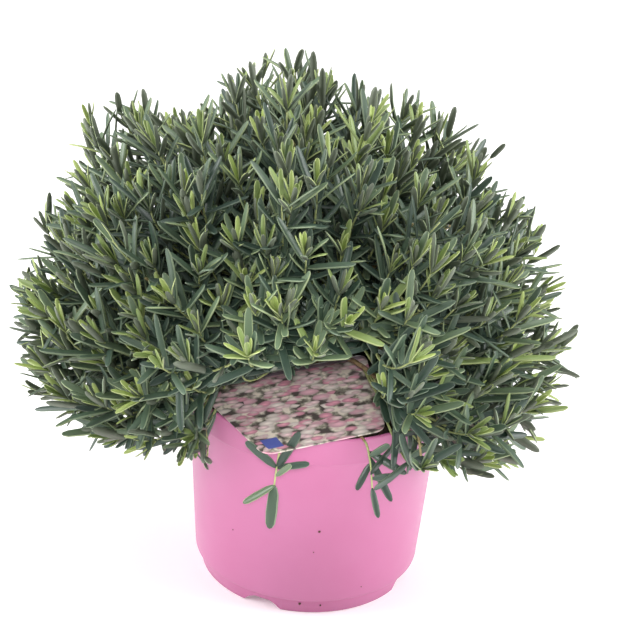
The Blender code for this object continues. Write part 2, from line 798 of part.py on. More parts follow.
def main():
    """Clear the scene and build the whole plant."""
    for old in list(bpy.data.objects):
        bpy.data.objects.remove(old)
    make_pot()
    make_soil()
    make_label()
    make_stem()
    looks = {
        "bough": material("bough_brown", (0.22, 0.15, 0.09), 0.8),
        "leaf": material("leaf_blue_green", (0.075, 0.16, 0.105), 0.55),
    }
    masses = list_masses()
    lines = {mass.name: bough_path(mass) for mass in masses}
    sprigs = [sprig_paths(azimuth)[0] for azimuth in SPRIG_AZIMUTHS]
    for mass in masses:
        make_bough(mass, looks["bough"])
    for mass in masses:
        others = [line for name, line in lines.items() if name != mass.name] + sprigs
        make_mass(mass, masses, others, looks["leaf"])
    for number, azimuth in enumerate(SPRIG_AZIMUTHS):
        make_sprig(number + 1, azimuth, looks)


main()
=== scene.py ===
"""Looks of the potted blue ice bog rosemary: pot, peat, label, bark, twigs and leaves round the frame."""

import math

import bpy
import numpy as np
from mathutils import Matrix, Vector


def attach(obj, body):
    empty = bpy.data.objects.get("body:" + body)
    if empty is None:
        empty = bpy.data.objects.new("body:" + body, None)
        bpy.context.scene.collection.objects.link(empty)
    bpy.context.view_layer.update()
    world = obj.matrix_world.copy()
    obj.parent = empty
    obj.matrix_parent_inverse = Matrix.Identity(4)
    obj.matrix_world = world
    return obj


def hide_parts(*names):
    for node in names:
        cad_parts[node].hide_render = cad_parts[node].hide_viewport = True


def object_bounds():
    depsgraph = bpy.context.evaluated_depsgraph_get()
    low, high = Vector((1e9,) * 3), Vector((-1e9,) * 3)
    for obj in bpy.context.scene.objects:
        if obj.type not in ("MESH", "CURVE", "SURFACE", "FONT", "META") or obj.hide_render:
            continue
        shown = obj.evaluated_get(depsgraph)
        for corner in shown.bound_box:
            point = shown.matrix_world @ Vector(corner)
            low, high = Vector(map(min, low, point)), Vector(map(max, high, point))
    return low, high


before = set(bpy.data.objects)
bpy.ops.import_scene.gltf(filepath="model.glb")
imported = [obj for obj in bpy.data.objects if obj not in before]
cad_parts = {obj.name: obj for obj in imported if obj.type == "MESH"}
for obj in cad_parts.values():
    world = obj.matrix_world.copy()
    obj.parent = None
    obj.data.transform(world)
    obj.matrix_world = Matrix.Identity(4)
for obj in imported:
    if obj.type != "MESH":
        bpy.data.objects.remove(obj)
CAD_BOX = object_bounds()
BOX_LOW = np.array([float(v) for v in CAD_BOX[0]])
BOX_HIGH = np.array([float(v) for v in CAD_BOX[1]])
NODES = sorted(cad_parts)
MASS_NODES = [name for name in NODES if name.endswith("_mass") or "_mass_" in name]
BOUGH_NODES = [name for name in NODES if name.startswith("bough_")]

# Pot, in metres
POT_HEIGHT = 0.1255
FOOT_RADIUS = 0.0651
BODY_RADIUS = 0.0694
BODY_BOTTOM = 0.0108
INNER_BEVEL = 0.0020
COLLAR_BOTTOM = 0.1080
COLLAR_STEP = 0.0010
COLLAR_RADIUS = 0.0772
RIM_RADIUS = 0.0781
WALL = 0.0018
FLOOR = 0.0040
POT_SIDES = 288
NOTCH_RADIUS = 0.0150
NOTCH_RISE = 0.0060
NOTCH_DEPTH = 0.0070
NOTCH_AZIMUTHS = (-112.0, -22.0, 68.0, 158.0)

# Soil
SOIL_EDGE = 0.1135
SOIL_TOP = 0.1170
SOIL_FLAT_RADIUS = 0.0160
SOIL_SHOULDER_RADIUS = 0.0450
SOIL_SHOULDER_RISE = 0.0026
SOIL_RADIUS = 0.0740
SOIL_SIDES = 96
SOIL_RINGS = 30
CRUMB_COUNT = 900
CRUMB_RADIUS = 0.0725
CRUMB_SIZES = (0.0006, 0.0021)

# Label card
CARD_FAR = 0.107
CARD_NEAR = 0.072
CARD_DEPTH = 0.077
CARD_THICK = 0.0008
CARD_CORNER = 0.006
CARD_CENTRE = (-0.0069, -0.0586, 0.1366)
CARD_YAW = 21.6
CARD_ROLL = -5.3
CARD_PITCH = 5.1
PATCH_ROWS = slice(6, 11)
PATCH_COLUMNS = slice(2, 6)
TONGUE_WIDTH = 0.010
TONGUE_V = -0.006
TONGUE_BOTTOM = 0.0950

# Stem, boughs and crown, by the same rule as the solids
GAP = 0.0003
STEM_TOP = 0.1720
STEM_SHARES = (0.0, 0.15, 0.45, 1.0)
STEM_WIDTHS = (0.0085, 0.0064, 0.0052, 0.0042)
STEM_LEAN = np.array([-0.0015, 0.0008, 0.0])
BOUGH_TIP_RADIUS = 0.0011
CENTRE = np.array([-0.0180, 0.0, 0.1350])
MEAN_REACH = 0.1720
REACH_LOSS_BELOW = 0.0830
LOSS_STARTS_AT = 0.0500
REACH_ALLOWANCE = 0.0060
BOX_ALLOWANCE = 0.0050
INNER_RADIUS = 0.0820
SEED_SHARE = 0.75
STEM_SHORT_OF_REACH = 0.0290
LOBES = (
    (95.0, 66.0, 0.0160, 10.0),
    (152.0, 45.0, 0.0240, 10.0),
    (136.0, 57.0, -0.0150, 7.0),
    (58.0, 62.0, -0.0070, 9.0),
    (42.0, 55.0, 0.0110, 6.0),
    (26.0, 43.0, 0.0090, 6.0),
    (270.0, 25.0, -0.0100, 40.0),
    (235.0, -10.0, -0.0340, 28.0),
    (300.0, -10.0, -0.0190, 25.0),
)
CROWN_FLOOR = 0.0750
FLOOR_AT_AXIS = 0.0800
FLOOR_RISE = 0.3500
FLOOR_ALLOWANCE = 0.0040
WINDOW_ALLOWANCE = 0.0035
WINDOW_LEFT_ALLOWANCE = 0.0120
WINDOW_LEFT = -0.0660
WINDOW_RIGHT = 0.0320
WINDOW_BACK = -0.0200
WINDOW_HEIGHT = 0.1340
WINDOW_TILT = 0.3000
WINDOW_SLOPE = 0.5000
WINDOW_AZIMUTH = 265.0
WINDOW_SPREAD = 70.0
RINGS = (
    ("top", 1, 120.0, 360.0, 84.0, 0.0, 0.0, 0.0021),
    ("upper", 6, 25.0, 60.0, 57.0, 0.0, 0.1640, 0.0020),
    ("middle", 8, 265.0, 45.0, 25.0, 13.0, 0.1560, 0.0021),
    ("skirt", 8, 312.0, 37.6, -15.0, 13.0, 0.1450, 0.0017),
)
SWAY = 4.0
SWAY_TURN = 2.3
SKIRT_ENTRY_HEIGHT = 0.1510
SKIRT_ENTRY_RADIUS = 0.0950
SKIRT_RISE = 10.0
SPRIG_AZIMUTHS = (-101.0, -70.0)
SPRIG_START = 0.1235
SPRIG_CREST = np.array([0.0860, 0.0, 0.1283])
SPRIG_TIP = np.array([0.1060, 0.0, 0.0960])
SPRIG_RADIUS = 0.0013

# Leaves and shoots at life size
LEAF_LENGTH = 0.0285
LEAF_WIDTH = 0.0043
GOLDEN_TURN = math.radians(137.5)
TWIG_RADIUS = 0.0008
OUTER_SHOOTS = 400
OUTER_DEPTH = (0.0120, 0.0380)
INNER_SHOOTS = 170
INNER_DEPTH = (0.0500, 0.0850)
LEAF_SIZES = {"top": 0.95, "upper": 0.97, "middle": 1.02, "skirt": 1.14}
LEADER_DEPTH = 0.0060
LEADERS = (
    (96.0, 65.0), (92.0, 58.0), (119.0, 62.0), (85.0, 65.0), (43.0, 56.0), (36.0, 50.0), (26.0, 43.0),
    (13.0, 25.0), (3.0, 6.0), (352.0, -12.0), (151.0, 46.0), (156.0, 41.0), (146.0, 48.0), (169.0, 22.0),
    (176.0, 8.0), (186.0, -10.0), (60.0, 56.0), (108.0, 60.0), (240.0, 20.0), (300.0, 25.0), (215.0, 40.0),
    (320.0, 50.0), (265.0, 60.0),
)
LOWEST_RISE = -0.45
LEAFY_SPAN = 0.0480
LEAF_STEP = 0.0033
SEED = 41
UP = np.array([0.0, 0.0, 1.0])
SIDE_GUIDE = np.array([0.31, 0.87, 0.38])
SHOOT_LENGTHS = (0.052, 0.078)
SHOOT_LIFT = 0.55
LOW_SHOOT_LIFT = 0.30
LOW_SHOOT_BELOW = -0.05
LIFT_AND_LEAN = 1.3
HEADING_SPREAD = 0.18
ROOT_BEHIND = 0.3
LEAFY_SHARE = 0.85
SPRAY_SPREAD = 0.10
OLD_LEAN = 64.0
LEAN_LOSS = 30.0
OLD_TINT = 0.24
TINT_GAIN = 0.36
TINT_SPREAD = 0.09
YOUNG_TINT = 0.84
YOUNG_SIZE = 0.66
YOUNG_START = 0.96
YOUNG_LEANS = (26.0, 7.0)
TURN_SPREAD = 0.16
LEAN_SPREAD = 0.20
LEAF_CURL = -0.05
CURL_SPREAD = 0.10
LEAF_SINK = 0.0004

# Camera
CAMERA_PLACE = (-0.0003, -0.9522, 0.6079)
CAMERA_PITCH = 65.0
CAMERA_ROLL = 0.067
CAMERA_LENS = 99.24
FLOOR_HALF = 4.0
FLOOR_HEIGHT = -0.0002


def plain_colour(red, green, blue):
    """A display colour of 0 to 255 a channel as the linear colour that a shader reads."""
    share = np.array([red, green, blue]) / 255.0
    linear = np.where(share <= 0.04045, share / 12.92, ((share + 0.055) / 1.055) ** 2.4)
    return (*[float(value) for value in linear], 1.0)


def unit(vectors):
    """Vectors at length one."""
    return vectors / np.linalg.norm(vectors, axis=-1, keepdims=True)


def show(name, points, faces, looks, which=None, smooth=True):
    """A new piece from arrays of points and faces, one shader slot for each look."""
    mesh = bpy.data.meshes.new(name)
    mesh.from_pydata(np.asarray(points).reshape(-1, 3).tolist(), [], faces)
    for look in looks:
        mesh.materials.append(look)
    if which is not None:
        mesh.polygons.foreach_set("material_index", np.asarray(which, dtype=np.int32))
    if smooth:
        mesh.shade_smooth()
    mesh.update()
    piece = bpy.data.objects.new(name, mesh)
    bpy.context.scene.collection.objects.link(piece)
    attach(piece, "root")
    return piece


def grid_faces(rows, columns, start=0, closed=True):
    """Quads between neighbouring rows of points; the columns run round when closed."""
    row = np.arange(rows - 1)[:, None] * columns
    column = np.arange(columns if closed else columns - 1)[None, :]
    after = (column + 1) % columns
    quads = np.stack([row + column, row + after, row + columns + after, row + columns + column], -1)
    return (quads.reshape(-1, 4) + start).tolist()


def turned(profile, sides):
    """Points radius * (cos a, sin a), height for every angle a: a profile turned round Z."""
    angle = 2.0 * np.pi * np.arange(sides) / sides
    radius = profile[:, 0][:, None]
    height = np.broadcast_to(profile[:, 1][:, None], (len(profile), sides))
    return np.stack([radius * np.cos(angle), radius * np.sin(angle), height], -1)


def shader(name, colour, roughness):
    """A Principled material of one colour and roughness."""
    made = bpy.data.materials.new(name)
    made.use_nodes = True
    main = made.node_tree.nodes["Principled BSDF"]
    main.inputs["Base Color"].default_value = colour
    main.inputs["Roughness"].default_value = roughness
    return made


def mottle_group():
    """Shader group: a colour that drifts between two, and a fine height, by noise on object points."""
    group = bpy.data.node_groups.new("mottle", "ShaderNodeTree")
    face = group.interface
    face.new_socket("Light", in_out="INPUT", socket_type="NodeSocketColor")
    face.new_socket("Dark", in_out="INPUT", socket_type="NodeSocketColor")
    face.new_socket("Patch", in_out="INPUT", socket_type="NodeSocketFloat")
    face.new_socket("Grain", in_out="INPUT", socket_type="NodeSocketFloat")
    face.new_socket("Color", in_out="OUTPUT", socket_type="NodeSocketColor")
    face.new_socket("Height", in_out="OUTPUT", socket_type="NodeSocketFloat")
    face.new_socket("Gloss", in_out="OUTPUT", socket_type="NodeSocketFloat")
    nodes = group.nodes
    links = group.links
    enter = nodes.new("NodeGroupInput")
    leave = nodes.new("NodeGroupOutput")
    where = nodes.new("ShaderNodeTexCoord")
    patch = nodes.new("ShaderNodeTexNoise")
    grain = nodes.new("ShaderNodeTexNoise")
    patch.inputs["Detail"].default_value = 3.0
    grain.inputs["Detail"].default_value = 2.0
    span = nodes.new("ShaderNodeMapRange")
    span.inputs["From Min"].default_value = 0.35
    span.inputs["From Max"].default_value = 0.65
    blend = nodes.new("ShaderNodeMix")
    blend.data_type = "RGBA"
    gloss = nodes.new("ShaderNodeMapRange")
    gloss.inputs["To Min"].default_value = 0.38
    gloss.inputs["To Max"].default_value = 0.55
    links.new(where.outputs["Object"], patch.inputs["Vector"])
    links.new(where.outputs["Object"], grain.inputs["Vector"])
    links.new(enter.outputs["Patch"], patch.inputs["Scale"])
    links.new(enter.outputs["Grain"], grain.inputs["Scale"])
    links.new(patch.outputs["Fac"], span.inputs["Value"])
    links.new(span.outputs["Result"], blend.inputs["Factor"])
    links.new(enter.outputs["Light"], blend.inputs["A"])
    links.new(enter.outputs["Dark"], blend.inputs["B"])
    links.new(blend.outputs["Result"], leave.inputs["Color"])
    links.new(grain.outputs["Fac"], leave.inputs["Height"])
    links.new(patch.outputs["Fac"], gloss.inputs["Value"])
    links.new(gloss.outputs["Result"], leave.inputs["Gloss"])
    return group


MOTTLE = mottle_group()


def mottle_nodes(made, light, dark, patch, grain, bump, distance):
    """Feed a material's colour and relief from the mottle group, and hand back the group's node."""
    nodes = made.node_tree.nodes
    links = made.node_tree.links
    main = nodes["Principled BSDF"]
    group = nodes.new("ShaderNodeGroup")
    group.node_tree = MOTTLE
    group.inputs["Light"].default_value = light
    group.inputs["Dark"].default_value = dark
    group.inputs["Patch"].default_value = patch
    group.inputs["Grain"].default_value = grain
    relief = nodes.new("ShaderNodeBump")
    relief.inputs["Strength"].default_value = bump
    relief.inputs["Distance"].default_value = distance
    links.new(group.outputs["Color"], main.inputs["Base Color"])
    links.new(group.outputs["Height"], relief.inputs["Height"])
    links.new(relief.outputs["Normal"], main.inputs["Normal"])
    return group


def mottled(name, light, dark, patch, grain, roughness, bump):
    """A material whose colour drifts from light to dark and whose surface has a fine grain."""
    made = shader(name, light, roughness)
    mottle_nodes(made, light, dark, patch, grain, bump, 0.0005)
    return made


def pot_look():
    """Satin pink plastic with a faint drift in colour and gloss under a thin clear coat."""
    made = shader("pot_pink", plain_colour(182, 103, 146), 0.34)
    light = plain_colour(183, 104, 147)
    dark = plain_colour(179, 98, 141)
    group = mottle_nodes(made, light, dark, 16.0, 1400.0, 0.05, 0.0003)
    main = made.node_tree.nodes["Principled BSDF"]
    main.inputs["Coat Weight"].default_value = 0.35
    main.inputs["Coat Roughness"].default_value = 0.25
    made.node_tree.links.new(group.outputs["Gloss"], main.inputs["Roughness"])
    return made


def notch_height(angle):
    """Height of the foot's lower edge: the arch of a lying cylinder at each notch, else zero."""
    height = np.zeros_like(angle)
    for azimuth in NOTCH_AZIMUTHS:
        away = (angle - math.radians(azimuth) + np.pi) % (2.0 * np.pi) - np.pi
        across = FOOT_RADIUS * np.sin(away)
        inside = (np.abs(across) < NOTCH_RADIUS) & (np.abs(away) < 1.0)
        arch = np.sqrt(np.maximum(NOTCH_RADIUS ** 2 - across ** 2, 0.0)) - (NOTCH_RADIUS - NOTCH_RISE)
        height = np.maximum(height, np.where(inside, arch, 0.0))
    return height


def wall_radius(height):
    """Outer radius of the pot's body, straight from its lower edge to the collar."""
    share = (height - BODY_BOTTOM) / (COLLAR_BOTTOM - BODY_BOTTOM)
    return BODY_RADIUS + share * (COLLAR_RADIUS - COLLAR_STEP - BODY_RADIUS)


def make_pot():
    """The pot's profile turned round Z, with its foot lifted into four arches."""
    inset = FOOT_RADIUS - NOTCH_DEPTH
    neck = wall_radius(COLLAR_BOTTOM)
    profile = [
        (0.0005, 0.0), (0.030, 0.0), (inset, 0.0), (inset + 0.0002, 0.0),
        (FOOT_RADIUS - 0.0004, 0.0), (FOOT_RADIUS, 0.0004),
        (FOOT_RADIUS, 0.0078), (FOOT_RADIUS + 0.0001, BODY_BOTTOM - 0.0014),
        (FOOT_RADIUS + 0.0012, BODY_BOTTOM - 0.0008), (BODY_RADIUS - 0.0010, BODY_BOTTOM - 0.0004),
        (BODY_RADIUS - 0.0002, BODY_BOTTOM), (BODY_RADIUS + 0.0001, BODY_BOTTOM + 0.0010),
    ]
    for height in np.linspace(BODY_BOTTOM + 0.006, COLLAR_BOTTOM - 0.003, 7):
        profile.append((wall_radius(height), height))
    profile += [
        (neck, COLLAR_BOTTOM - 0.0006), (neck + 0.0001, COLLAR_BOTTOM - 0.0002),
        (COLLAR_RADIUS - 0.0001, COLLAR_BOTTOM + 0.0002), (COLLAR_RADIUS + 0.0002, COLLAR_BOTTOM + 0.0008),
        (COLLAR_RADIUS + 0.0001, COLLAR_BOTTOM + 0.0018), (COLLAR_RADIUS, COLLAR_BOTTOM + 0.0030),
        (RIM_RADIUS - 0.0003, POT_HEIGHT - 0.0030), (RIM_RADIUS, POT_HEIGHT - 0.0016),
        (RIM_RADIUS, POT_HEIGHT - 0.0006), (RIM_RADIUS - 0.0004, POT_HEIGHT - 0.0001),
        (RIM_RADIUS - 0.0009, POT_HEIGHT), (RIM_RADIUS - WALL + 0.0003, POT_HEIGHT - 0.0002),
        (RIM_RADIUS - WALL, POT_HEIGHT - 0.0008), (RIM_RADIUS - WALL - 0.0008, POT_HEIGHT - 0.0090),
        (neck - WALL, COLLAR_BOTTOM), (BODY_RADIUS - WALL, BODY_BOTTOM + INNER_BEVEL),
        (FOOT_RADIUS - WALL, FLOOR), (0.0005, FLOOR),
    ]
    profile = np.array(profile)
    points = turned(profile, POT_SIDES)
    angle = 2.0 * np.pi * np.arange(POT_SIDES) / POT_SIDES
    lift = notch_height(angle)
    for row in range(3, 7):
        points[row, :, 2] = np.maximum(points[row, :, 2], lift)
    faces = grid_faces(len(profile), POT_SIDES)
    count = len(profile) * POT_SIDES
    faces.append(list(range(POT_SIDES - 1, -1, -1)))
    faces.append(list(range(count - POT_SIDES, count)))
    pot = show("pot_skin", points, faces, [pot_look()])
    pot.data.set_sharp_from_angle(angle=math.radians(50.0))
    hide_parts("pot")


def crumbs(centres, sizes, chance):
    """Lumps with twelve corners: an icosahedron's corners, each pushed in or out, at every centre."""
    gold = (1.0 + 5.0 ** 0.5) / 2.0
    corners = np.array([
        (-1, gold, 0), (1, gold, 0), (-1, -gold, 0), (1, -gold, 0), (0, -1, gold), (0, 1, gold),
        (0, -1, -gold), (0, 1, -gold), (gold, 0, -1), (gold, 0, 1), (-gold, 0, -1), (-gold, 0, 1)])
    corners = corners / np.linalg.norm(corners[0])
    sides = np.array([
        (0, 11, 5), (0, 5, 1), (0, 1, 7), (0, 7, 10), (0, 10, 11), (1, 5, 9), (5, 11, 4), (11, 10, 2),
        (10, 7, 6), (7, 1, 8), (3, 9, 4), (3, 4, 2), (3, 2, 6), (3, 6, 8), (3, 8, 9), (4, 9, 5),
        (2, 4, 11), (6, 2, 10), (8, 6, 7), (9, 8, 1)])
    push = chance.uniform(0.65, 1.25, (len(centres), 12, 1))
    stretch = chance.uniform(0.6, 1.4, (len(centres), 1, 3))
    points = centres[:, None, :] + corners[None] * push * stretch * sizes[:, None, None]
    faces = sides[None] + 12 * np.arange(len(centres))[:, None, None]
    return points.reshape(-1, 3), faces.reshape(-1, 3).tolist()


def soil_height(radius):
    """Height of the peat's top at a radius, from the soil's own profile."""
    radii = (SOIL_FLAT_RADIUS, SOIL_SHOULDER_RADIUS, SOIL_RADIUS)
    return np.interp(radius, radii, (SOIL_TOP, SOIL_EDGE + SOIL_SHOULDER_RISE, SOIL_EDGE))


def make_soil():
    """Peat: rings that rise to a rough top, height plus a product of sines, under loose crumbs."""
    chance = np.random.default_rng(SEED)
    inner = wall_radius(COLLAR_BOTTOM) - WALL - 2.0 * GAP
    rings = np.array([
        (0.0005, FLOOR + GAP), (FOOT_RADIUS - WALL - 2 * GAP, FLOOR + GAP),
        (BODY_RADIUS - WALL - 2 * GAP, BODY_BOTTOM + INNER_BEVEL + 0.0004), (inner, COLLAR_BOTTOM)])
    radii = np.linspace(inner, 0.0005, SOIL_RINGS)
    top = np.stack([radii, soil_height(radii)], -1)
    profile = np.concatenate([rings, top])
    points = turned(profile, SOIL_SIDES)
    x = points[len(rings):, :, 0]
    y = points[len(rings):, :, 1]
    rough = np.sin(900 * x + 3 * np.sin(700 * y)) * np.sin(820 * y + 2 * np.sin(650 * x))
    fade = np.clip((inner - np.hypot(x, y)) / 0.003, 0.0, 1.0) * np.clip(np.hypot(x, y) / 0.02, 0.0, 1.0)
    points[len(rings):, :, 2] += (0.0007 * rough - 0.0006) * fade
    faces = grid_faces(len(profile), SOIL_SIDES)
    count = len(profile) * SOIL_SIDES
    faces.append(list(range(SOIL_SIDES - 1, -1, -1)))
    faces.append(list(range(count - SOIL_SIDES, count)))
    look = mottled("peat", plain_colour(62, 45, 34), plain_colour(30, 22, 18), 260.0, 1500.0, 0.95, 0.8)
    soil = show("peat_bed", points, faces, [look])
    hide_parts("soil")
    radius = CRUMB_RADIUS * np.sqrt(chance.uniform(0.02, 1.0, CRUMB_COUNT))
    angle = chance.uniform(0.0, 2.0 * np.pi, CRUMB_COUNT)
    height = soil_height(radius) + chance.uniform(-0.0004, 0.0006, CRUMB_COUNT)
    centres = np.stack([radius * np.cos(angle), radius * np.sin(angle), height], -1)
    grains, sides = crumbs(centres, chance.uniform(*CRUMB_SIZES, CRUMB_COUNT), chance)
    pale = mottled("peat_crumb", plain_colour(84, 62, 46), plain_colour(40, 30, 24), 180.0, 900.0, 0.95, 0.5)
    loose = show("peat_crumbs", grains, sides, [pale], smooth=False)


def make_pot_specks():
    """A few grains of peat that stick to the pot's front."""
    chance = np.random.default_rng(SEED + 5)
    angle = np.radians([-84.0, -86.0, -127.0, -91.0, -80.0, -60.0])
    height = np.array([0.062, 0.047, 0.050, 0.006, 0.0052, 0.018])
    radius = np.where(height < BODY_BOTTOM, FOOT_RADIUS, wall_radius(height)) + 0.0001
    centres = np.stack([radius * np.cos(angle), radius * np.sin(angle), height], -1)
    grains, sides = crumbs(centres, np.array([0.0006, 0.0005, 0.0005, 0.0008, 0.0007, 0.0004]), chance)
    look = mottled("peat_speck", plain_colour(92, 62, 50), plain_colour(54, 38, 32), 300.0, 900.0, 0.95, 0.3)
    specks = show("peat_specks", grains, sides, [look], smooth=False)


def card_place():
    """The card's frame: X along its edges, Y away from the front, Z out of its printed face."""
    turn = Matrix.Rotation(math.radians(CARD_YAW), 4, "Z")
    turn = turn @ Matrix.Rotation(math.radians(CARD_ROLL), 4, "Y")
    turn = turn @ Matrix.Rotation(math.radians(CARD_PITCH), 4, "X")
    return Matrix.Translation(CARD_CENTRE) @ turn


CARD_MATRIX = np.array(card_place())
CARD_INVERSE = np.linalg.inv(CARD_MATRIX)


def to_world(local):
    """Card points carried to the world."""
    return local @ CARD_MATRIX[:3, :3].T + CARD_MATRIX[:3, 3]


def card_half_width(depth):
    """Half the card's width at a depth, straight from near edge to far edge, rounded at the corners."""
    share = (depth + CARD_DEPTH / 2.0) / CARD_DEPTH
    half = 0.5 * (CARD_NEAR + share * (CARD_FAR - CARD_NEAR))
    end = np.clip(CARD_CORNER - (CARD_DEPTH / 2.0 - np.abs(depth)), 0.0, CARD_CORNER)
    return half - (CARD_CORNER - np.sqrt(np.maximum(CARD_CORNER ** 2 - end ** 2, 0.0)))


def label_look():
    """Printed blossom pattern: round bells in three pinks over olive leaves, under a white painted highlight
    along the card's far edge.
    """
    made = shader("label_print", plain_colour(220, 190, 196), 0.32)
    nodes = made.node_tree.nodes
    links = made.node_tree.links
    main = nodes["Principled BSDF"]
    where = nodes.new("ShaderNodeUVMap")
    where.uv_map = "print"
    base = nodes.new("ShaderNodeTexNoise")
    base.inputs["Scale"].default_value = 14.0
    base.inputs["Detail"].default_value = 5.0
    ground = nodes.new("ShaderNodeValToRGB")
    ground.color_ramp.elements[0].position = 0.42
    ground.color_ramp.elements[0].color = plain_colour(84, 76, 74)
    ground.color_ramp.elements[1].position = 0.58
    ground.color_ramp.elements[1].color = plain_colour(226, 214, 200)
    middle = ground.color_ramp.elements.new(0.5)
    middle.color = plain_colour(150, 146, 132)
    links.new(where.outputs["UV"], base.inputs["Vector"])
    links.new(base.outputs["Fac"], ground.inputs["Fac"])
    colour = ground.outputs["Color"]
    tones = ((250, 196, 210), (254, 240, 232), (244, 172, 192), (254, 222, 224))
    for layer, tone in enumerate(tones):
        cells = nodes.new("ShaderNodeTexVoronoi")
        cells.inputs["Scale"].default_value = 11.0 + 3.0 * layer
        shift = nodes.new("ShaderNodeMapping")
        shift.inputs["Location"].default_value = (3.7 * layer, 1.9 * layer, 0.0)
        shift.inputs["Rotation"].default_value = (0.0, 0.0, 0.25 * layer)
        shift.inputs["Scale"].default_value = (0.70, 1.35, 1.0)
        step = nodes.new("ShaderNodeMapRange")
        step.inputs["From Min"].default_value = 0.50
        step.inputs["From Max"].default_value = 0.38
        pick = nodes.new("ShaderNodeSeparateColor")
        some = nodes.new("ShaderNodeMath")
        some.operation = "GREATER_THAN"
        some.inputs[1].default_value = 0.38
        both = nodes.new("ShaderNodeMath")
        both.operation = "MULTIPLY"
        shade = nodes.new("ShaderNodeValToRGB")
        shade.color_ramp.elements[0].color = plain_colour(*tone)
        shade.color_ramp.elements[1].color = plain_colour(*[value * 0.80 for value in tone])
        shade.color_ramp.elements[1].position = 0.36
        blend = nodes.new("ShaderNodeMix")
        blend.data_type = "RGBA"
        links.new(where.outputs["UV"], shift.inputs["Vector"])
        links.new(shift.outputs["Vector"], cells.inputs["Vector"])
        links.new(cells.outputs["Distance"], step.inputs["Value"])
        links.new(cells.outputs["Color"], pick.inputs["Color"])
        links.new(pick.outputs["Red"], some.inputs[0])
        links.new(step.outputs["Result"], both.inputs[0])
        links.new(some.outputs["Value"], both.inputs[1])
        links.new(cells.outputs["Distance"], shade.inputs["Fac"])
        links.new(both.outputs["Value"], blend.inputs["Factor"])
        links.new(colour, blend.inputs["A"])
        links.new(shade.outputs["Color"], blend.inputs["B"])
        colour = blend.outputs["Result"]
    links.new(colour, main.inputs["Base Color"])
    main.inputs["Coat Weight"].default_value = 0.3
    return made


CARD_TINTS = (
    # white: the card's back and tongue, and also the painted highlight strip along the card's far edge
    ("white", (244, 242, 242), (236, 232, 232)),
    ("blue_patch", (92, 104, 176), (84, 94, 164)),
    ("mauve_band", (168, 146, 158), (150, 132, 146)),
)


def make_label():
    """The card as a grid over its tapered outline, bowed by 1.2 mm, with its print, a white painted highlight
    along its far edge, and its tongue.
    """
    rows = 41
    columns = 33
    turn = np.linspace(-np.pi / 2.0, np.pi / 2.0, rows)
    depth = np.sin(turn) * CARD_DEPTH / 2.0
    across = np.linspace(-1.0, 1.0, columns)
    half = card_half_width(depth)
    x = half[:, None] * across[None, :]
    y = np.broadcast_to(depth[:, None], x.shape)
    bow = 0.0004 * np.cos(np.pi * x / CARD_FAR) * np.cos(np.pi * y / CARD_DEPTH)
    upper = np.stack([x, y, CARD_THICK / 2.0 + bow], -1)
    lower = np.stack([x, y, -CARD_THICK / 2.0 + bow], -1)
    count = rows * columns
    points = np.concatenate([upper.reshape(-1, 3), lower.reshape(-1, 3)])
    top = np.array(grid_faces(rows, columns, 0, False))
    under = top[:, ::-1] + count
    ring = np.concatenate([
        np.arange(columns), np.arange(1, rows) * columns + columns - 1,
        (rows - 1) * columns + np.arange(columns - 2, -1, -1), np.arange(rows - 2, 0, -1) * columns])
    after = np.roll(ring, -1)
    rim = np.stack([ring, ring + count, after + count, after], -1)
    faces = np.concatenate([top, under, rim]).tolist()
    # A 1.2 mm strip along the far edge gets the white material: a painted highlight where the card's edge
    # catches the light.
    far_edge_highlight = y > CARD_DEPTH / 2.0 - 0.0012
    highlight_cell = far_edge_highlight[:-1, :-1] & far_edge_highlight[1:, 1:] & far_edge_highlight[:-1, 1:] & far_edge_highlight[1:, :-1]
    band = (y[:-1, :-1] > CARD_DEPTH / 2.0 - 0.0050) & ~highlight_cell
    patch = np.zeros_like(highlight_cell)
    patch[PATCH_ROWS, PATCH_COLUMNS] = True
    kind = np.where(highlight_cell, 1, np.where(patch, 2, np.where(band, 3, 0))).reshape(-1)
    which = np.concatenate([kind, np.ones(len(under), dtype=int), np.zeros(len(rim), dtype=int)])
    looks = [label_look()]
    for tint, light, dark in CARD_TINTS:
        look = mottled("label_" + tint, plain_colour(*light), plain_colour(*dark), 60.0, 600.0, 0.33, 0.02)
        looks.append(look)
    card = show("label_card", to_world(points), faces, looks, which)
    card.data.set_sharp_from_angle(angle=math.radians(40.0))
    layer = card.data.uv_layers.new(name="print")
    corner = np.empty(len(card.data.loops), dtype=np.int32)
    card.data.loops.foreach_get("vertex_index", corner)
    flat = points[corner][:, :2] / CARD_FAR + 0.5
    layer.data.foreach_set("uv", flat.reshape(-1))
    tongue = make_tongue(looks[1])
    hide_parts("plant_label")
    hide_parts("plant_label")


def make_tongue(look):
    """A strip that leaves the card's underside and runs down into the peat, bent at its top."""
    foot = to_world(np.array([[0.0, TONGUE_V, -CARD_THICK / 2.0]]))[0]
    turn = math.radians(CARD_YAW)
    along = np.array([math.cos(turn), math.sin(turn), 0.0])
    ahead = np.array([-math.sin(turn), math.cos(turn), 0.0])
    height = np.concatenate([[foot[2]], np.linspace(foot[2] - 0.0015, TONGUE_BOTTOM + 0.0004, 12)])
    half = np.full_like(height, TONGUE_WIDTH / 2.0)
    half[-1] *= 0.6
    corners = np.array([(-1, -1), (1, -1), (1, 1), (-1, 1)])
    middle = np.stack([np.full_like(height, foot[0]), np.full_like(height, foot[1]), height], -1)
    side = corners[None, :, :1] * half[:, None, None] * along
    thick = corners[None, :, 1:] * (0.5 * CARD_THICK) * ahead
    points = middle[:, None, :] + side + thick
    faces = grid_faces(len(height), 4)
    faces = [face[::-1] for face in faces]
    faces.append([0, 1, 2, 3])
    faces.append([len(height) * 4 - 1, len(height) * 4 - 2, len(height) * 4 - 3, len(height) * 4 - 4])
    return show("label_tongue", points, faces, [look], smooth=False)


def bend(first, middle, last, share):
    """Points on a quadratic curve at an array of shares."""
    share = np.asarray(share)[:, None]
    return (1 - share) ** 2 * first + 2 * share * (1 - share) * middle + share ** 2 * last


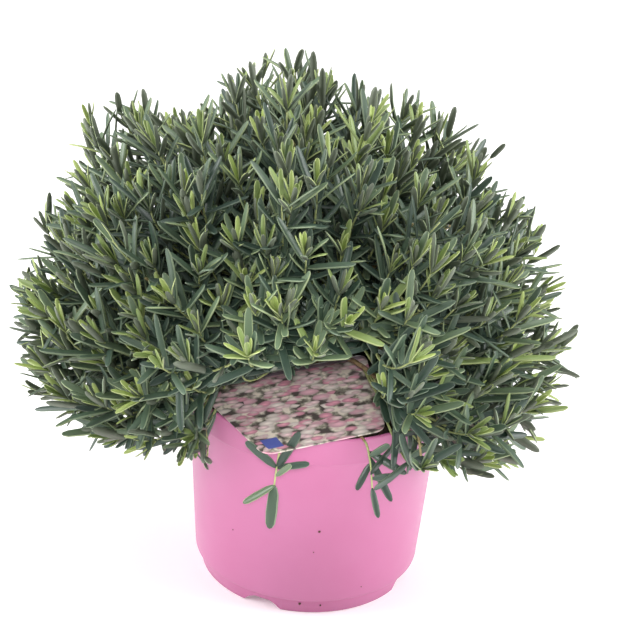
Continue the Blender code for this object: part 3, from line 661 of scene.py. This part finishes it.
def heading(azimuth, elevation):
    """Unit vector from two angles in degrees."""
    turn = math.radians(azimuth)
    rise = math.radians(elevation)
    return np.array([math.cos(rise) * math.cos(turn), math.cos(rise) * math.sin(turn), math.sin(rise)])


def reach(direction):
    """How far the crown goes from its centre, for an array of directions: a sphere with lobes, less below."""
    total = MEAN_REACH - REACH_LOSS_BELOW * np.maximum(-direction[..., 2] - LOSS_STARTS_AT, 0.0)
    for azimuth, elevation, height, width in LOBES:
        away = np.degrees(np.arccos(np.clip(direction @ heading(azimuth, elevation), -1.0, 1.0)))
        total = total + height * np.exp(-0.5 * (away / width) ** 2)
    return total


def stem_centre(height):
    """The short stem's axis at a height."""
    share = (height - SOIL_TOP) / (STEM_TOP - SOIL_TOP)
    return STEM_LEAN * share + height * UP


def stem_radius(height):
    """The short stem's radius at a height, flared at the peat."""
    return np.interp((height - SOIL_TOP) / (STEM_TOP - SOIL_TOP), STEM_SHARES, STEM_WIDTHS)


def free(points):
    """Which points lie inside the frame's box and the crown's reach, clear of pot, card, floor and window."""
    x, y, z = points[..., 0], points[..., 1], points[..., 2]
    flat = np.hypot(x, y)
    good = np.all((points > BOX_LOW - BOX_ALLOWANCE) & (points < BOX_HIGH + BOX_ALLOWANCE), axis=-1)
    good &= ~((z < POT_HEIGHT + 0.0015) & (flat < RIM_RADIUS + 0.0020))
    local = points @ CARD_INVERSE[:3, :3].T + CARD_INVERSE[:3, 3]
    over = (np.abs(local[..., 0]) < CARD_FAR / 2.0 + 0.001)
    over &= (np.abs(local[..., 1]) < CARD_DEPTH / 2.0 + 0.001)
    good &= ~(over & (np.abs(local[..., 2]) < 0.0022))
    away = points - CENTRE
    far = np.linalg.norm(away, axis=-1)
    good &= far < reach(away / np.maximum(far, 1e-6)[..., None]) + REACH_ALLOWANCE
    good &= z > np.maximum(CROWN_FLOOR, FLOOR_AT_AXIS - FLOOR_RISE * y) - FLOOR_ALLOWANCE
    window = (x > WINDOW_LEFT + WINDOW_LEFT_ALLOWANCE) & (x < WINDOW_RIGHT) & (y < WINDOW_BACK)
    return good & ~(window & (z < WINDOW_HEIGHT - WINDOW_ALLOWANCE + WINDOW_TILT * x - WINDOW_SLOPE * y))


class Plant:
    """Limbs and leaves gathered as the masses grow, ready to be joined by kind."""

    def __init__(self):
        self.chance = np.random.default_rng(SEED)
        self.limbs = {"bark": [], "twig": [], "shoot": []}
        self.leaves = []

    def limb(self, kind, path, first, last):
        """Note a tapering limb."""
        self.limbs[kind].append((path, np.linspace(first, last, len(path))))

    def dress(self, path, shares, tilts, ring, size, tints):
        """Leaves at golden turns round a shoot, at the given shares, leans and tints."""
        chance = self.chance
        count = len(shares)
        place = np.clip(shares, 0.0, 0.9999) * (len(path) - 1)
        index = np.minimum(place.astype(int), len(path) - 2)
        span = path[index + 1] - path[index]
        root = path[index] + span * (place - index)[:, None]
        axis = unit(span)
        side = unit(np.cross(axis, SIDE_GUIDE))
        third = np.cross(axis, side)
        turn = chance.uniform(0.0, 6.28) + GOLDEN_TURN * np.arange(count)
        turn = turn + chance.normal(0.0, TURN_SPREAD, count)
        out = side * np.cos(turn)[:, None] + third * np.sin(turn)[:, None]
        tilt = np.radians(tilts) + chance.normal(0.0, LEAN_SPREAD, count)
        along = unit(axis * np.cos(tilt)[:, None] + out * np.sin(tilt)[:, None] + 0.12 * UP)
        face = axis * np.sin(tilt)[:, None] - out * np.cos(tilt)[:, None] + 0.30 * UP
        face = unit(face - along * np.sum(face * along, -1, keepdims=True))
        length = LEAF_LENGTH * size * chance.uniform(0.78, 1.16, count)
        width = LEAF_WIDTH * size ** 0.8 * chance.uniform(0.85, 1.12, count)
        curl = chance.normal(LEAF_CURL, CURL_SPREAD, count)
        tip = root + along * length[:, None]
        middle = root + 0.5 * along * length[:, None]
        edge = np.cross(along, face) * (0.5 * width)[:, None]
        good = free(tip) & free(middle + edge) & free(middle - edge)
        good &= free(root + 0.8 * along * length[:, None])
        for item in np.nonzero(good)[0]:
            self.leaves.append((ring, float(tints[item]), root[item] - LEAF_SINK * along[item], along[item],
                                face[item], length[item], width[item], curl[item]))

    def shoot(self, mass, ahead, depth, inner_shade):
        """A shoot from a mass's stem to a place on the dome: bare, then leafy, young leaves at its tip, all
        its leaves darkened as painted shade when it lies deep in the crown.
        """
        chance = self.chance
        tip = CENTRE + (reach(ahead) - depth) * ahead
        length = chance.uniform(*SHOOT_LENGTHS)
        stem = mass.line
        away = np.linalg.norm(tip - stem, axis=1)
        behind = (tip - stem) @ ahead > ROOT_BEHIND * away
        if not behind.any() or not free(tip):
            return
        root = stem[np.argmin(np.where(behind, np.abs(away - length), np.inf))]
        lift = SHOOT_LIFT if ahead[2] > LOW_SHOOT_BELOW else LOW_SHOOT_LIFT
        leaving = unit((LIFT_AND_LEAN - lift) * ahead + lift * UP + chance.normal(0.0, HEADING_SPREAD, 3))
        span = np.linalg.norm(tip - root)
        path = bend(root, tip - 0.5 * span * leaving, tip, np.linspace(0.0, 1.0, 8))
        if not np.all(free(path[3:])):
            return
        self.limb("shoot", path, TWIG_RADIUS * 1.15, TWIG_RADIUS * 0.55)
        leafy = min(LEAFY_SPAN, LEAFY_SHARE * span)
        count = int(leafy / LEAF_STEP)
        share = (np.arange(count) + chance.uniform(0.0, 1.0)) / count
        spray = chance.normal(0.0, SPRAY_SPREAD)
        # Shoots deep inside the crown take a darker tint here, also on their young tip leaves below: painted
        # shade of the crown's hollow inside.
        tints = OLD_TINT + TINT_GAIN * share ** 1.5 + spray + chance.normal(0.0, TINT_SPREAD, count) - inner_shade
        tilts = OLD_LEAN - LEAN_LOSS * share ** 1.3
        shares = 1.0 - (1.0 - share) * leafy / span
        self.dress(path, shares, tilts, mass.ring, LEAF_SIZES[mass.ring], tints)
        young = int(chance.integers(5, 9))
        tints = YOUNG_TINT + spray + chance.normal(0.0, TINT_SPREAD, young) - 0.8 * inner_shade
        tilts = np.linspace(*YOUNG_LEANS, young)
        self.dress(path, np.linspace(YOUNG_START, 1.0, young), tilts, mass.ring, YOUNG_SIZE, tints)


class Mass:
    """One mass of the source: its ring, seed, and the line of its bough and stem."""

    def __init__(self, ring, azimuth, elevation, start, radius):
        ahead = heading(azimuth, elevation)
        far = float(reach(ahead))
        self.ring = ring
        self.radius = radius
        self.seed = CENTRE + SEED_SHARE * far * ahead
        tip = CENTRE + (far - STEM_SHORT_OF_REACH) * ahead
        entry = CENTRE + INNER_RADIUS * ahead
        leaving = ahead
        if ring == "skirt":
            entry = CENTRE + SKIRT_ENTRY_RADIUS * heading(azimuth, 0.0)
            entry[2] = SKIRT_ENTRY_HEIGHT
            leaving = heading(azimuth, SKIRT_RISE)
        middle = entry + 0.5 * np.linalg.norm(tip - entry) * leaving
        self.bough = bough_line(start, azimuth, radius, entry)
        self.stem = bend(entry, middle, tip, np.linspace(0.0, 1.0, 13))
        self.line = np.concatenate([self.bough[6:], self.stem[:-2]])


def list_masses():
    """Every mass of the source, ring by ring; those over the window stand higher."""
    found = []
    for ring, count, azimuth, step, elevation, lift, start, radius in RINGS:
        for number in range(count):
            turn = azimuth + step * number
            rise = elevation + SWAY * math.sin(SWAY_TURN * number + elevation)
            if abs((turn - WINDOW_AZIMUTH + 180.0) % 360.0 - 180.0) < WINDOW_SPREAD:
                rise += lift
            found.append(Mass(ring, turn, rise, start, radius))
    return found


def bough_line(start, turn, radius, entry):
    """A bough from the short stem to its mass's entry point."""
    share = np.linspace(0.0, 1.0, 12)
    if start == 0.0:
        first = stem_centre(STEM_TOP) - 0.002 * UP
        return bend(first, first + 0.3 * np.linalg.norm(entry - first) * UP, entry, share)
    out = heading(turn, 0.0)
    first = stem_centre(start) + (stem_radius(start - radius) - 0.0012) * out
    middle = first + 0.45 * np.linalg.norm(entry - first) * heading(turn, 18.0)
    return bend(first, middle, entry, share)


def dome(count, chance):
    """Headings spread evenly over the dome: each turns by the golden angle and steps down in height."""
    number = np.arange(count)
    rise = 1.0 - (1.0 - LOWEST_RISE) * (number + 0.5) / count
    flat = np.sqrt(1.0 - rise ** 2)
    ahead = np.stack([flat * np.cos(GOLDEN_TURN * number), flat * np.sin(GOLDEN_TURN * number), rise], -1)
    return unit(ahead + chance.normal(0.0, 0.035, ahead.shape))


def grow(plant):
    """Every mass: its bough and stem, then shoots to the places of the dome that are nearest to it."""
    masses = list_masses()
    for mass in masses:
        plant.limb("bark", mass.bough, mass.radius, BOUGH_TIP_RADIUS)
        plant.limb("twig", mass.stem, BOUGH_TIP_RADIUS, TWIG_RADIUS * 0.9)
    seeds = np.array([mass.seed for mass in masses])
    places = [(heading(*spot), LEADER_DEPTH, 0.0) for spot in LEADERS]
    # The inner shoots, deep in the crown, get darker leaf tints as painted shade; the outer shoots get none.
    for count, depths, inner_shade in ((OUTER_SHOOTS, OUTER_DEPTH, 0.0), (INNER_SHOOTS, INNER_DEPTH, 0.28)):
        for ahead in dome(count, plant.chance):
            depth = depths[0] + (depths[1] - depths[0]) * plant.chance.uniform() ** 1.2
            places.append((ahead, depth, inner_shade))
    for ahead, depth, inner_shade in places:
        place = CENTRE + (reach(ahead) - depth) * ahead
        nearest = int(np.argmin(np.linalg.norm(seeds - place, axis=1)))
        plant.shoot(masses[nearest], ahead, depth, inner_shade)


SPRIG_LEAVES = (
    (
        (0.60, (-0.0173, -0.006, 0.0181), 0.0050, 0.30), (0.64, (0.0111, -0.004, 0.0252), 0.0052, 0.20),
        (0.62, (0.0177, -0.006, 0.0074), 0.0042, 0.35), (0.76, (-0.0166, -0.007, -0.0086), 0.0042, 0.70),
        (0.80, (-0.0014, -0.008, -0.0239), 0.0068, 0.45), (0.72, (0.0080, -0.008, 0.0120), 0.0034, 0.60),
    ),
    (
        (0.40, (0.0150, -0.005, -0.0250), 0.0048, 0.15), (0.46, (-0.0064, -0.007, -0.0140), 0.0042, 0.20),
        (0.30, (0.0220, -0.006, -0.0090), 0.0048, 0.25), (0.36, (0.0100, -0.005, 0.0110), 0.0042, 0.45),
        (0.70, (0.0120, -0.006, 0.0060), 0.0040, 0.30), (0.80, (0.0050, -0.007, -0.0150), 0.0040, 0.35),
    ),
)
SPRIG_SHARE = 0.8


def grow_sprigs(plant):
    """The two small sprigs that hang over the front of the rim, with a few broad leaves each."""
    for azimuth, leaves in zip(SPRIG_AZIMUTHS, SPRIG_LEAVES):
        turn = math.radians(azimuth)
        spin = np.array([[math.cos(turn), -math.sin(turn), 0.0], [math.sin(turn), math.cos(turn), 0.0], UP])
        out = heading(azimuth, 0.0)
        first = stem_centre(SPRIG_START) + (stem_radius(SPRIG_START - SPRIG_RADIUS) - 0.001) * out
        crest = spin @ SPRIG_CREST
        tip = spin @ SPRIG_TIP
        rise = 0.5 * (first + crest) + 0.0014 * UP
        bough = bend(first, rise, crest, np.linspace(0.0, 1.0, 12))
        stem = bend(crest, crest + 0.012 * out, tip, np.linspace(0.0, SPRIG_SHARE, 9))
        plant.limb("bark", bough, SPRIG_RADIUS, SPRIG_RADIUS * 0.6)
        plant.limb("shoot", stem, SPRIG_RADIUS * 0.6, TWIG_RADIUS * 0.6)
        for share, span, width, tint in leaves:
            root = stem[int(round(8 * share / SPRIG_SHARE))]
            span = np.array(span)
            along = unit(span)
            face = out + 0.5 * UP
            face = unit(face - along * (face @ along))
            plant.leaves.append(("skirt", tint, root, along, face, float(np.linalg.norm(span)), width, -0.05))


def tubes(limbs, sides, relief):
    """Rings carried along every path: radius * (1 + relief * wave), with a closed end at both tips."""
    points = []
    faces = []
    start = 0
    turn = 2.0 * np.pi * np.arange(sides) / sides
    for path, radii in limbs:
        along = unit(np.gradient(path, axis=0))
        side = unit(np.cross(along, SIDE_GUIDE))
        third = np.cross(along, side)
        rows = len(path)
        level = np.arange(rows)[:, None]
        wave = np.sin(3 * turn + 1.7 * level) + 0.6 * np.sin(5 * turn - 2.9 * level + 1.0)
        radius = radii[:, None] * (1.0 + relief * wave)
        ring = side[:, None] * np.cos(turn)[None, :, None] + third[:, None] * np.sin(turn)[None, :, None]
        points.append((path[:, None] + radius[..., None] * ring).reshape(-1, 3))
        faces += grid_faces(rows, sides, start)
        faces.append(list(range(start + sides - 1, start - 1, -1)))
        faces.append(list(range(start + (rows - 1) * sides, start + rows * sides)))
        start += rows * sides
    return np.concatenate(points), faces


def finer(path, radii, factor):
    """The same path with more rows, for bark relief."""
    old = np.linspace(0.0, 1.0, len(path))
    new = np.linspace(0.0, 1.0, (len(path) - 1) * factor + 1)
    line = np.stack([np.interp(new, old, path[:, axis]) for axis in range(3)], -1)
    return line, np.interp(new, old, radii)


BARK_TINTS = {
    "bark_old": ((128, 104, 84), (82, 62, 48)),
    "bark_young": ((150, 126, 92), (108, 84, 60)),
    "twig_tan": ((172, 160, 112), (140, 120, 84)),
    "shoot_green": ((176, 184, 124), (150, 160, 104)),
}
BARK_GRAIN = 1000.0


def bark_look(name, patch, roughness, bump):
    """Bark or green rind of a limb, by its name in the table of tints."""
    light, dark = BARK_TINTS[name]
    return mottled(name, plain_colour(*light), plain_colour(*dark), patch, BARK_GRAIN, roughness, bump)


def make_limbs(plant):
    """The short stem, the boughs and the twigs, each kind one mesh."""
    low = SOIL_TOP + GAP
    height = np.linspace(low, STEM_TOP, 40)
    path = np.array([stem_centre(value) for value in height])
    points, faces = tubes([(path, stem_radius(height) * 0.97)], 32, 0.018)
    bark = bark_look("bark_old", 320.0, 0.85, 0.9)
    stem = show("stem_bark", points, faces, [bark])
    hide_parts("stem_base")
    points, faces = tubes([finer(*limb, 3) for limb in plant.limbs["bark"]], 10, 0.05)
    young = bark_look("bark_young", 260.0, 0.8, 0.6)
    boughs = show("bough_bark", points, faces, [young])
    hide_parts(*BOUGH_NODES)
    points, faces = tubes(plant.limbs["twig"], 7, 0.04)
    tan = bark_look("twig_tan", 200.0, 0.7, 0.4)
    twigs = show("twigs", points, faces, [tan])
    points, faces = tubes(plant.limbs["shoot"], 5, 0.02)
    green = bark_look("shoot_green", 120.0, 0.6, 0.2)
    shoots = show("shoots", points, faces, [green])
    for piece in (twigs, shoots):
        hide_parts(*MASS_NODES)


LEAF_SHARES = np.array([0.0, 0.07, 0.22, 0.62, 0.88, 0.97, 1.0])
LEAF_HALF = np.array([0.18, 0.55, 0.90, 1.0, 0.84, 0.50, 0.10])
SECTION_ACROSS = np.array([-1.0, -0.80, 0.0, 0.80, 1.0, 0.0])
SECTION_HEIGHT = np.array([-0.16, 0.05, -0.07, 0.05, -0.16, -0.24])
SECTION_LOOKS = np.array([2, 0, 0, 2, 1, 1])


def leaf_mesh(leaves):
    """Narrow leaves: point(s, c) = root + s*L along + curl*L*s^2 face + w(s) times a section c.

    The section is a flat top with a groove down its middle, margins rolled under, and a
    midrib below. Every leaf of the list is worked out at once."""
    root, along, face = (np.array([leaf[index] for leaf in leaves]) for index in (2, 3, 4))
    length, width, curl = (np.array([leaf[index] for leaf in leaves])[:, None, None] for index in (5, 6, 7))
    across = np.cross(along, face)
    share = LEAF_SHARES[None, :, None]
    axis = root[:, None] + length * (share * along[:, None] + curl * share ** 2 * face[:, None])
    slope = 2.0 * curl * share
    normal = unit(face[:, None] - slope * along[:, None])
    half = 0.5 * width * LEAF_HALF[None, :, None]
    spread = (half * SECTION_ACROSS)[..., None] * across[:, None, None]
    rise = (2.0 * half * SECTION_HEIGHT)[..., None] * normal[:, :, None]
    points = axis[:, :, None] + spread + rise
    rows = len(LEAF_SHARES)
    columns = len(SECTION_ACROSS)
    one = np.array(grid_faces(rows, columns))[:, ::-1]
    strips = np.tile(SECTION_LOOKS, rows - 1)
    offset = np.arange(len(leaves))[:, None, None] * rows * columns
    quads = (one[None] + offset).reshape(-1, 4).tolist()
    ends = np.stack([np.arange(columns), np.arange(rows * columns - 1, (rows - 1) * columns - 1, -1)])
    caps = (ends[None] + offset).reshape(-1, columns).tolist()
    which = np.concatenate([np.tile(strips, len(leaves)), np.ones(len(caps), dtype=int)])
    return points.reshape(-1, 3), quads + caps, which


TINTS = (
    ("deep", 0.22, (44, 62, 52), (80, 96, 80)),
    ("blue", 0.38, (54, 73, 61), (100, 117, 97)),
    ("green", 0.54, (70, 89, 71), (124, 140, 112)),
    ("grey", 0.72, (94, 113, 86), (146, 161, 120)),
    ("fresh", 0.88, (128, 148, 86), (164, 178, 118)),
    ("young", 9.00, (156, 174, 98), (182, 194, 132)),
)


def make_leaves(plant):
    """Leaves joined by tint and ring; the tint rises toward a shoot's young tip and follows its spray's, and
    it is darker on the inner shoots as painted shade.
    """
    under = shader("leaf_under", plain_colour(112, 120, 104), 0.6)
    low = -9.0
    for tint, high, colour, margin in TINTS:
        look = shader("leaf_" + tint, plain_colour(*colour), 0.38)
        edge = shader("leaf_edge_" + tint, plain_colour(*margin), 0.5)
        for rings in (("top", "upper"), ("middle",), ("skirt",)):
            chosen = [leaf for leaf in plant.leaves if leaf[0] in rings and low <= leaf[1] < high]
            if not chosen:
                continue
            points, faces, which = leaf_mesh(chosen)
            piece = show("leaves_%s_%s" % (tint, rings[-1]), points, faces, [look, under, edge], which)
            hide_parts(*MASS_NODES)
        low = high


def area_light(name, place, target, size, power):
    """A soft square lamp that faces a target."""
    lamp = bpy.data.lights.new(name, "AREA")
    lamp.size = size
    lamp.energy = power
    holder = bpy.data.objects.new(name, lamp)
    holder.location = place
    holder.rotation_euler = (Vector(target) - Vector(place)).to_track_quat("-Z", "Y").to_euler()
    bpy.context.scene.collection.objects.link(holder)


def spot_light(name, place, target, cone, power):
    """A lamp with a soft-edged cone that faces a target."""
    lamp = bpy.data.lights.new(name, "SPOT")
    lamp.spot_size = math.radians(cone)
    lamp.spot_blend = 1.0
    lamp.shadow_soft_size = 0.06
    lamp.energy = power
    holder = bpy.data.objects.new(name, lamp)
    holder.location = place
    holder.rotation_euler = (Vector(target) - Vector(place)).to_track_quat("-Z", "Y").to_euler()
    bpy.context.scene.collection.objects.link(holder)


def make_studio():
    """Pale floor, white surroundings, soft lamps and the camera at the photograph's angle."""
    scene = bpy.context.scene
    world = bpy.data.worlds.new("studio")
    world.use_nodes = True
    nodes = world.node_tree.nodes
    links = world.node_tree.links
    where = nodes.new("ShaderNodeTexCoord")
    split = nodes.new("ShaderNodeSeparateXYZ")
    front = nodes.new("ShaderNodeMapRange")
    front.inputs["From Min"].default_value = -1.0
    front.inputs["From Max"].default_value = -0.20
    front.inputs["To Min"].default_value = 0.16
    front.inputs["To Max"].default_value = 1.02
    links.new(where.outputs["Generated"], split.inputs["Vector"])
    links.new(split.outputs["Y"], front.inputs["Value"])
    links.new(front.outputs["Result"], nodes["Background"].inputs["Strength"])
    nodes["Background"].inputs["Color"].default_value = (1.0, 0.995, 0.995, 1.0)
    scene.world = world
    mesh = bpy.data.meshes.new("floor")
    turns = ((-1, -1), (1, -1), (1, 1), (-1, 1))
    corners = [(x * FLOOR_HALF, y * FLOOR_HALF, FLOOR_HEIGHT) for x, y in turns]
    mesh.from_pydata(corners, [], [(0, 1, 2, 3)])
    made = shader("floor_white", (0.93, 0.92, 0.925, 1.0), 0.7)
    main = made.node_tree.nodes["Principled BSDF"]
    main.inputs["Emission Color"].default_value = (1.0, 0.985, 0.99, 1.0)
    main.inputs["Emission Strength"].default_value = 0.16
    mesh.materials.append(made)
    floor = bpy.data.objects.new("floor", mesh)
    scene.collection.objects.link(floor)
    area_light("left_lamp", (-1.2, -0.10, 0.60), (0, 0, 0.10), 0.9, 17.0)
    area_light("right_lamp", (1.2, -0.05, 0.60), (0, 0, 0.10), 0.9, 17.0)
    spot_light("card_lamp", (0.0, -0.90, 0.62), (-0.004, -0.062, 0.132), 11.0, 42.0)
    area_light("top_lamp", (0.0, 0.2, 1.5), (0, 0, 0.15), 1.0, 10.0)
    lens = bpy.data.cameras.new("camera")
    lens.lens = CAMERA_LENS
    lens.sensor_width = 36.0
    camera = bpy.data.objects.new("camera", lens)
    turn = Matrix.Rotation(math.radians(CAMERA_PITCH), 4, "X") @ Matrix.Rotation(CAMERA_ROLL, 4, "Z")
    camera.matrix_world = Matrix.Translation(CAMERA_PLACE) @ turn
    scene.collection.objects.link(camera)
    scene.camera = camera
    scene.view_settings.view_transform = "Standard"


def main():
    """Dress the whole frame."""
    make_studio()
    make_pot()
    make_soil()
    make_pot_specks()
    make_label()
    plant = Plant()
    grow(plant)
    grow_sprigs(plant)
    make_limbs(plant)
    make_leaves(plant)


main()
